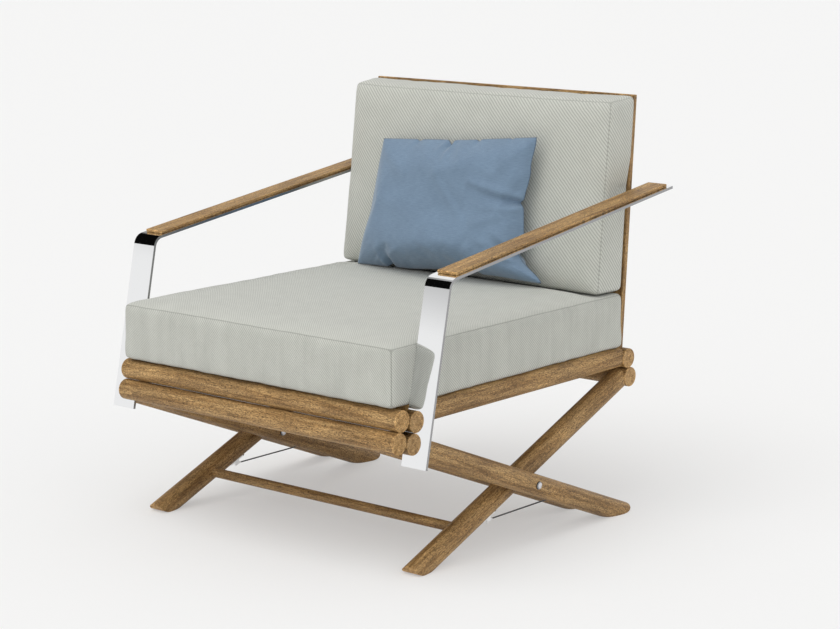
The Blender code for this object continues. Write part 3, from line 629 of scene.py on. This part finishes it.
def relaxCloth(mesh, cfg):
    # a short inflation sets the cloth; no point moves further than the cap
    start = [vert.co.copy() for vert in mesh.vertices]
    obj = bpy.data.objects.new("clothWork", mesh)
    scene = bpy.context.scene
    scene.collection.objects.link(obj)
    mod = obj.modifiers.new("Cloth", "CLOTH")
    for key, value in {**inflation, **cfg["cloth"]}.items():
        setattr(mod.settings, key, value)
    mod.settings.effector_weights.gravity = 0
    mod.collision_settings.use_collision = False
    mod.point_cache.frame_start = 1
    mod.point_cache.frame_end = cfg["frames"]
    for frameNumber in range(1, cfg["frames"] + 1):
        scene.frame_set(frameNumber)
    shaped = obj.evaluated_get(bpy.context.evaluated_depsgraph_get())
    end = [vert.co.copy() for vert in shaped.data.vertices]
    scene.frame_set(1)
    bpy.data.objects.remove(obj)
    for vert, first, last in zip(mesh.vertices, start, end):
        move = last - first
        if move.length > cfg["cap"]:
            move = move.normalized() * cfg["cap"]
        vert.co = first + move


def fitSpan(mesh, axis, low, high):
    places = [vert.co[axis] for vert in mesh.vertices]
    first, last = min(places), max(places)
    for vert in mesh.vertices:
        vert.co[axis] = low + (vert.co[axis] - first) * (high - low) / (last - first)


def makePiece(name, bm, materials):
    for face in bm.faces:
        face.smooth = True
    mesh = bpy.data.meshes.new(name)
    bm.to_mesh(mesh)
    bm.free()
    for mat in materials:
        mesh.materials.append(mat)
    obj = bpy.data.objects.new(name, mesh)
    bpy.context.scene.collection.objects.link(obj)
    return obj


def applySubdivision(obj, levels):
    mod = obj.modifiers.new("Subdivision", "SUBSURF")
    mod.levels = levels
    mod.render_levels = levels
    shaped = obj.evaluated_get(bpy.context.evaluated_depsgraph_get())
    mesh = bpy.data.meshes.new_from_object(shaped)
    obj.modifiers.clear()
    old = obj.data
    obj.data = mesh
    mesh.name = obj.name
    bpy.data.meshes.remove(old)


puckerSettings = {
    "amount": 0.0011,
    "reach": 0.028,
    "closeness": 34.0,
    "heightShare": 0.35,
    "fading": 1.4,
    "broad": 0.0016,
    "broadCloseness": 7,
    # beside a seam the broad unevenness loses this share
    "broadLoss": 0.6,
}


def puckerSeams(mesh, seed):
    # small gathers beside the seams and a faint unevenness over the panels
    cfg = puckerSettings
    seam = mesh.attributes["seamDistance"].data
    normals = [vert.normal.copy() for vert in mesh.vertices]
    for vert, way in zip(mesh.vertices, normals):
        near = math.exp(-((seam[vert.index].value / cfg["reach"]) ** cfg["fading"]))
        spot = vert.co
        fine = spot * cfg["closeness"]
        gather = noise.noise((fine.x + seed, fine.y, fine.z * cfg["heightShare"]))
        wide = spot * cfg["broadCloseness"]
        broad = noise.noise((wide.x + seed, wide.y, wide.z))
        rise = cfg["amount"] * near * gather
        rise += cfg["broad"] * broad * (1 - near * cfg["broadLoss"])
        vert.co = spot + way * rise


def keepInside(mesh, low, high):
    for vert in mesh.vertices:
        vert.co = Vector([max(low[i], min(high[i], vert.co[i])) for i in range(3)])


def shareBetween(value, start, end):
    return min(1.0, max(0.0, (value - start) / (end - start)))


def smoothShare(value, start, end):
    share = shareBetween(value, start, end)
    return share * share * (3 - 2 * share)


# seat cushion: crowned top, flat underside on the slats
seatSettings = {
    "low": (-0.3525, -0.4010, 0.3298),
    "high": (0.3525, 0.3295, 0.4425),
    "grid": (44, 46, 8),
    "round": 0.0090,
    # axis, way and what it gets: the slim rounding below, the crown above
    "slimSide": (2, -1, 0.0020),
    "crownSide": (2, 1, 0.0092),
    "sideFill": 0.0035,
    "frames": 14,
    "cap": 0.006,
    "cloth": {"bending_stiffness": 1.2, "uniform_pressure_force": 4.0, "shrink_min": -0.004},
    "seed": 3.0,
    "spanX": (-0.3540, 0.3540),
    "spanY": (-0.4030, 0.3295),
    "limits": ((-0.3528, -0.4050, 0.3298), (0.3528, 0.3295, 0.4525)),
    # pressed level where the back cushion stands
    "restFrom": 0.215,
    "restTo": 0.260,
    "restHeight": 0.4410,
}
# back cushion: crowned front, thinner towards the top, leaning on the back frame
backSettings = {
    "low": (-0.3400, 0.0, 0.4450),
    "high": (0.3400, 0.0882, 0.8345),
    "grid": (42, 6, 24),
    "round": 0.0095,
    "slimSide": (1, 1, 0.0030),
    "crownSide": (1, -1, 0.0070),
    "sideFill": 0.0020,
    "frames": 14,
    "cap": 0.006,
    "cloth": {"bending_stiffness": 1.2, "uniform_pressure_force": 4.0, "shrink_min": -0.004},
    "seed": 11.0,
    "spanX": (-0.3435, 0.3415),
    "spanZ": (0.4440, 0.8355),
    "limits": ((-0.3445, -0.0120, 0.4442), (0.3420, 0.0882, 0.8365)),
    "topDepth": 0.0735,
    # where the rear face meets the level of the slats (y, z)
    "leanFrom": (0.3300, 0.3295),
    # how much wider the front is at the foot, left and right
    "wideLow": (0.0085, 0.0035),
    # high up, the rear edge fills out to the sides and the top of the frame
    "fullSide": 0.0070,
    "fullFrom": 0.66,
    "fullTo": 0.72,
    "fullRear": 0.25,
    "fullEdge": 0.9,
    "fullTop": 0.0055,
    "fullTopReach": 0.03,
    # the cushion stays clear of the arm brackets beside the frame
    "bracketHeights": (0.615, 0.662),
    "bracketSide": 0.3400,
}


def makeBoxCushion(name, cfg, materials, panelOf):
    bm, low, high = boxGrid(cfg)
    layPanels(bm, low, high)
    for face in bm.faces:
        face.material_index = panelOf(face)
    puffBox(bm, low, high, cfg)
    obj = makePiece(name, bm, materials)
    relaxCloth(obj.data, cfg)
    applySubdivision(obj, 2)
    for axis, span in enumerate(("spanX", "spanY", "spanZ")):
        if span in cfg:
            fitSpan(obj.data, axis, *cfg[span])
    puckerSeams(obj.data, cfg["seed"])
    return obj


def makeSeatCushion(cfg):
    def topOrSide(face):
        return 0 if abs(face.normal.z) > 0.9 else 1

    materials = [makeTwill("twillTop"), makeTwill("twillSide")]
    obj = makeBoxCushion("seatCushion", cfg, materials, topOrSide)
    for vert in obj.data.vertices:
        if vert.co.z > cfg["restHeight"]:
            press = smoothShare(vert.co.y, cfg["restFrom"], cfg["restTo"])
            vert.co.z += (cfg["restHeight"] - vert.co.z) * press
    keepInside(obj.data, *cfg["limits"])
    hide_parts("seat_cushion")
    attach(obj, "seat_cushion")
    return obj


seatCushion = makeSeatCushion(seatSettings)
print("seat cushion ready")


def leanBack(spot, cfg):
    # spot is a place in the upright box; share runs up it, rear from its front to its back
    low, high = Vector(cfg["low"]), Vector(cfg["high"])
    share = (spot.z - low.z) / (high.z - low.z)
    rear = spot.y / high.y
    left, right = cfg["wideLow"]
    x, y, z = spot
    edge = max(0.0, abs(x) / high.x - cfg["fullEdge"]) / (1 - cfg["fullEdge"])
    full = shareBetween(z, cfg["fullFrom"], cfg["fullTo"])
    full *= max(0.0, rear - cfg["fullRear"]) / (1 - cfg["fullRear"])
    x += math.copysign(cfg["fullSide"] * full * edge, x)
    wide = right * max(0.0, x) + left * min(0.0, x)
    x += (1 - share) * max(0.0, 1 - rear) * wide / high.x
    bracketLow, bracketHigh = cfg["bracketHeights"]
    if bracketLow < z < bracketHigh and rear > 0.5:
        x = max(-cfg["bracketSide"], min(cfg["bracketSide"], x))
    z += cfg["fullTop"] * shareBetween(z, high.z - cfg["fullTopReach"], high.z) * rear
    footY, footZ = cfg["leanFrom"]
    depth = high.y + (cfg["topDepth"] - high.y) * share
    y = footY + (spot.z - footZ) * math.tan(backLean) - (high.y - y) * depth / high.y
    return Vector((x, y, z))


def makeBackCushion(cfg):
    obj = makeBoxCushion("backCushion", cfg, [makeTwill("twillBack")], lambda face: 0)
    keepInside(obj.data, *cfg["limits"])
    for vert in obj.data.vertices:
        vert.co = leanBack(vert.co.copy(), cfg)
    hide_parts("back_cushion")
    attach(obj, "back_cushion")
    return obj


backCushion = makeBackCushion(backSettings)
print("back cushion ready")


# throw pillow: two sheets sewn at the rim, blown up, then set on its corners
pillowSettings = {
    "width": 0.44,
    "height": 0.29,
    "grid": (84, 56),
    "thickness": 0.098,
    "rearShare": 0.80,
    "startRise": 0.012,
    "seamReach": 0.05,
    "frames": 24,
    "cap": 0.08,
    "cloth": {"bending_stiffness": 0.35, "uniform_pressure_force": 3.2, "shrink_min": -0.01},
    # how much of the rim's own bow after blowing up is kept
    "bow": 0.12,
    # rim corners on the chair: top left, top right, bottom right, bottom left
    "corners": ((-0.2147, 0.2400, 0.7246), (0.1895, 0.2438, 0.7556),
                (0.2321, 0.2065, 0.4640), (-0.2600, 0.2035, 0.4525)),
    # how far the right side and the underside draw in, by share of their length
    "rightSide": ((0.0, 0.0), (0.16, 0.042), (0.35, 0.036),
                  (0.56, 0.034), (0.78, 0.017), (1.0, 0.0)),
    "underside": ((0.0, 0.0), (0.30, -0.001), (0.48, 0.003), (0.75, 0.003), (1.0, 0.0)),
    # folds: start and end as shares of the width and height, width, height
    "folds": [
        ((0.46, 0.74), (0.66, 0.42), 0.011, 0.0032),
        ((0.50, 0.70), (0.70, 0.38), 0.010, -0.0026),
        ((0.68, 0.68), (0.97, 0.56), 0.009, 0.0046),
        ((0.72, 0.38), (0.97, 0.49), 0.011, 0.0038),
        ((0.11, 0.00), (0.23, 0.17), 0.008, -0.0050),
        ((0.17, 0.02), (0.30, 0.15), 0.009, 0.0034),
        ((0.30, 0.98), (0.38, 0.86), 0.009, -0.0020),
        ((0.47, 1.00), (0.49, 0.86), 0.008, -0.0040),
        ((0.54, 0.98), (0.60, 0.80), 0.012, 0.0026),
        ((0.06, 0.60), (0.48, 0.34), 0.026, 0.0030),
        ((0.60, 0.02), (0.70, 0.26), 0.012, -0.0034),
        ((0.04, 0.94), (0.24, 0.74), 0.014, 0.0034),
        ((0.96, 0.94), (0.80, 0.74), 0.014, 0.0034),
        ((0.97, 0.20), (0.78, 0.26), 0.010, 0.0040),
    ],
    # the filling has sunk: a belly below the middle, and a heavy foot
    "sag": 0.010,
    "sagHeight": 0.42,
    "heel": 0.70,
    "heelFrom": 0.05,
    # tucks: place on the rim (x, z shares), way in, depth, width, length of its crease
    "tucks": [
        ((1.0, 0.08), (-1.0, 0.12), 0.014, 0.010, 0.130),
        ((1.0, -0.66), (-1.0, 0.35), 0.015, 0.009, 0.095),
        ((-0.08, 1.0), (0.10, -1.0), 0.010, 0.009, 0.034),
        ((0.28, 1.0), (0.0, -1.0), 0.004, 0.008, 0.022),
        ((0.70, 1.0), (0.0, -1.0), 0.002, 0.007, 0.020),
        ((-0.50, 1.0), (0.15, -1.0), 0.004, 0.010, 0.026),
        ((-0.60, -1.0), (0.25, 1.0), 0.009, 0.010, 0.060),
        ((0.35, -1.0), (-0.1, 1.0), 0.005, 0.010, 0.050),
    ],
    # a tuck widens along its crease, sinks the cloth and raises a ridge on both sides
    "tuckSpread": (0.6, 0.9),
    "tuckFading": 1.5,
    "tuckSink": 0.95,
    "ridgeRise": 0.32,
    "ridgePlace": 1.9,
    "ridgeWidth": 0.8,
    # a fold keeps this much of its height at both ends of its arc
    "foldEnds": 0.35,
    "foldArc": (0.2, 0.8),
    # folds and tucks fade out over this thickness towards the rim
    "foldRim": 0.010,
    "tuckRim": 0.012,
    "restGap": 0.0015,
}
linenSettings = {
    "pale": (0.212, 0.300, 0.405, 1),
    "deep": (0.120, 0.180, 0.262, 1),
    "threadPitch": 0.00125,
    "weaveShare": 0.4,
    "weaveDepth": 0.0004,
    "weaveStrength": 0.45,
    "tonePlaces": (0.25, 0.70),
    # noise: scale, detail, roughness
    "slubs": (900.0, 3.0, 0.6),
    "slubStretch": (0.08, 1, 1),
    "clouds": (18.0, 3.0, 0.5),
    "cloudTones": ((0.3, 0.94), (0.7, 1.06)),
    "seamWidth": 0.0025,
    "seamTones": ((0.2, 0.62), (0.9, 1.0)),
    "roughness": 0.88,
    "specular": 0.25,
    "sheen": 0.30,
    "sheenRoughness": 0.45,
}


def makeLinen(name):
    cfg = linenSettings
    mat, tree, shader = newMaterial(name)
    flat, across, along = panelCoords(tree, 0.0)
    warp = wave(tree, across, cfg["threadPitch"])
    weft = wave(tree, along, cfg["threadPitch"])
    weave = mathNode(tree, "MULTIPLY_ADD", warp, 0.5, mathNode(tree, "MULTIPLY", weft, 0.5))
    slub = noiseNode(tree, flat, *cfg["slubs"], cfg["slubStretch"])
    shade = mathNode(tree, "MULTIPLY_ADD", slub.outputs["Fac"], 1 - cfg["weaveShare"],
                     mathNode(tree, "MULTIPLY", weave, cfg["weaveShare"]))
    tone = rampNode(tree, shade, list(zip(cfg["tonePlaces"], (cfg["deep"], cfg["pale"]))))
    cloud = noiseNode(tree, flat, *cfg["clouds"])
    clouds = rampNode(tree, cloud.outputs["Fac"], cfg["cloudTones"])
    tone = mixColor(tree, 1.0, tone, clouds, "MULTIPLY")
    seam = addNode(tree, "ShaderNodeAttribute", attribute_name="seamDistance")
    edge = mathNode(tree, "DIVIDE", seam.outputs["Fac"], cfg["seamWidth"], clamp=True)
    edgeTone = rampNode(tree, edge, cfg["seamTones"])
    tone = mixColor(tree, 1.0, tone, edgeTone, "MULTIPLY")
    bump = addNode(tree, "ShaderNodeBump", Strength=cfg["weaveStrength"],
                   Distance=cfg["weaveDepth"], Height=shade)
    setInputs(tree, shader, {"Base Color": tone, "Roughness": cfg["roughness"],
                             "Specular IOR Level": cfg["specular"], "Sheen Weight": cfg["sheen"],
                             "Sheen Roughness": cfg["sheenRoughness"],
                             "Normal": bump.outputs[0]})
    return mat


def makePillow(cfg):
    bm = bmesh.new()
    columns, rows = cfg["grid"]
    bmesh.ops.create_grid(bm, x_segments=columns, y_segments=rows, size=0.5)
    uv = bm.loops.layers.uv.new("panel")
    seam = bm.verts.layers.float.new("seamDistance")
    for face in bm.faces:
        for loop in face.loops:
            loop[uv].uv = (loop.vert.co.x * cfg["width"], loop.vert.co.y * cfg["height"])
    for vert in bm.verts:
        vert[seam] = min((0.5 - abs(vert.co.x)) * cfg["width"],
                         (0.5 - abs(vert.co.y)) * cfg["height"], cfg["seamReach"])
    copied = bmesh.ops.duplicate(bm, geom=bm.verts[:] + bm.edges[:] + bm.faces[:])["geom"]
    behind = {item for item in copied if isinstance(item, bmesh.types.BMVert)}
    bmesh.ops.reverse_faces(
        bm, faces=[item for item in copied if isinstance(item, bmesh.types.BMFace)])
    for vert in bm.verts:
        insideX = max(0.0, 1 - (2 * vert.co.x) ** 2)
        insideY = max(0.0, 1 - (2 * vert.co.y) ** 2)
        rise = cfg["startRise"] * (insideX * insideY) ** 0.5
        vert.co.z = -rise if vert in behind else rise
    bmesh.ops.scale(bm, vec=(cfg["width"], cfg["height"], 1.0), verts=bm.verts[:])
    bmesh.ops.remove_doubles(bm, verts=bm.verts[:], dist=1e-5)
    bmesh.ops.recalc_face_normals(bm, faces=bm.faces[:])
    obj = makePiece("throwPillow", bm, [makeLinen("blueLinen")])
    relaxCloth(obj.data, cfg)
    applySubdivision(obj, 1)
    return obj


throwPillow = makePillow(pillowSettings)
print("pillow blown up")


def softSteps(points, place):
    # smooth curve through a few (place, amount) pairs
    if place <= points[0][0]:
        return points[0][1]
    for (firstPlace, first), (nextPlace, following) in zip(points, points[1:]):
        if place <= nextPlace:
            return first + (following - first) * smoothShare(place, firstPlace, nextPlace)
    return points[-1][1]


def tuckIn(cfg, place, fat):
    # each tuck draws the rim in and leaves a crease with a ridge on both sides
    slip = Vector((0.0, 0.0))
    for spot, inward, depth, width, crease in cfg["tucks"]:
        way = Vector(inward).normalized()
        offset = place - Vector((spot[0] * cfg["width"] / 2, spot[1] * cfg["height"] / 2))
        forward = max(0.0, offset.dot(way)) / crease
        sidestep = offset.dot(Vector((-way.y, way.x)))
        fade = max(0.0, 1.0 - forward)
        spread = width * (cfg["tuckSpread"][0] + cfg["tuckSpread"][1] * forward)
        hit = math.exp(-(sidestep / spread) ** 2) * fade ** cfg["tuckFading"]
        slip += way * depth * hit
        thin = min(1.0, abs(fat) / cfg["tuckRim"])
        fat -= math.copysign(depth * cfg["tuckSink"] * hit * thin, fat)
        aside = (abs(sidestep) / spread - cfg["ridgePlace"]) / cfg["ridgeWidth"]
        ridge = math.exp(-aside ** 2) * fade
        thin = min(1.0, abs(fat) / cfg["tuckRim"])
        fat += math.copysign(depth * cfg["ridgeRise"] * ridge * thin, fat)
    return slip, fat


def foldRise(cfg, place):
    rise = 0.0
    arcStart, arcEnd = cfg["foldArc"]
    for start, end, width, height in cfg["folds"]:
        first, last = [Vector(((x - 0.5) * cfg["width"], (y - 0.5) * cfg["height"]))
                       for x, y in (start, end)]
        way = last - first
        part = max(0.0, min(1.0, (place - first).dot(way) / way.length_squared))
        gap = (place - first - way * part).length
        angle = math.pi * (arcStart + (arcEnd - arcStart) * part)
        swell = cfg["foldEnds"] + (1 - cfg["foldEnds"]) * math.sin(angle)
        rise += height * math.exp(-((gap / width) ** 2)) * swell
    return rise


def setPillow(obj, cfg):
    topLeft, topRight, lowRight, lowLeft = [Vector(corner) for corner in cfg["corners"]]
    across = (topRight + lowRight) / 2 - (topLeft + lowLeft) / 2
    upward = (topLeft + topRight) / 2 - (lowLeft + lowRight) / 2
    front = across.cross(upward).normalized()
    mesh = obj.data
    size = (cfg["width"], cfg["height"])
    reach = [max(vert.co[axis] for vert in mesh.vertices) for axis in range(3)]
    # the flat place of each point, from its UV
    uvs = mesh.uv_layers["panel"].data
    flat = {loop.vertex_index: Vector(uvs[loop.index].uv) for loop in mesh.loops}
    for vert in mesh.vertices:
        place = flat[vert.index]
        sheet = [place[i] / size[i] * 2 for i in range(2)]
        blown = [max(-1.0, min(1.0, vert.co[i] / reach[i])) for i in range(2)]
        u, v = [sheet[i] + (blown[i] - sheet[i]) * cfg["bow"] for i in range(2)]
        slip, fat = tuckIn(cfg, place, vert.co.z / reach[2] * cfg["thickness"] / 2)
        s = (u + 1) / 2 + slip.x / cfg["width"]
        t = (v + 1) / 2 + slip.y / cfg["height"]
        s -= softSteps(cfg["rightSide"], t) / cfg["width"] * max(0.0, s) ** 5
        t += softSteps(cfg["underside"], s) / cfg["height"] * max(0.0, 1 - t) ** 5
        rim = min(1.0, abs(fat) / cfg["foldRim"])
        fat *= 1 + cfg["heel"] * smoothShare(-sheet[1], cfg["heelFrom"], 1.0)
        if fat > 0:
            low = (sheet[1] + cfg["sagHeight"]) / cfg["sagHeight"]
            belly = cfg["sag"] * math.exp(-(low ** 2)) * max(0.0, 1 - sheet[0] ** 4)
            fat += abs(foldRise(cfg, place) + belly) * rim
        else:
            fat *= cfg["rearShare"]
        foot = lowLeft.lerp(lowRight, s)
        head = topLeft.lerp(topRight, s)
        vert.co = foot.lerp(head, t) + front * fat
    mesh.update()


def restAgainst(obj, support, gap):
    # keep the rear of a soft piece in front of what it leans on
    wall = BVHTree.FromObject(support, bpy.context.evaluated_depsgraph_get())
    for vert in obj.data.vertices:
        hit = wall.ray_cast(Vector((vert.co.x, -1.0, vert.co.z)), Vector((0, 1, 0)))[0]
        if hit is not None and vert.co.y > hit.y - gap:
            vert.co.y = hit.y - gap
    obj.data.update()


setPillow(throwPillow, pillowSettings)
restAgainst(throwPillow, backCushion, pillowSettings["restGap"])
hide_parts("throw_pillow")
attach(throwPillow, "throw_pillow")
print("pillow set")
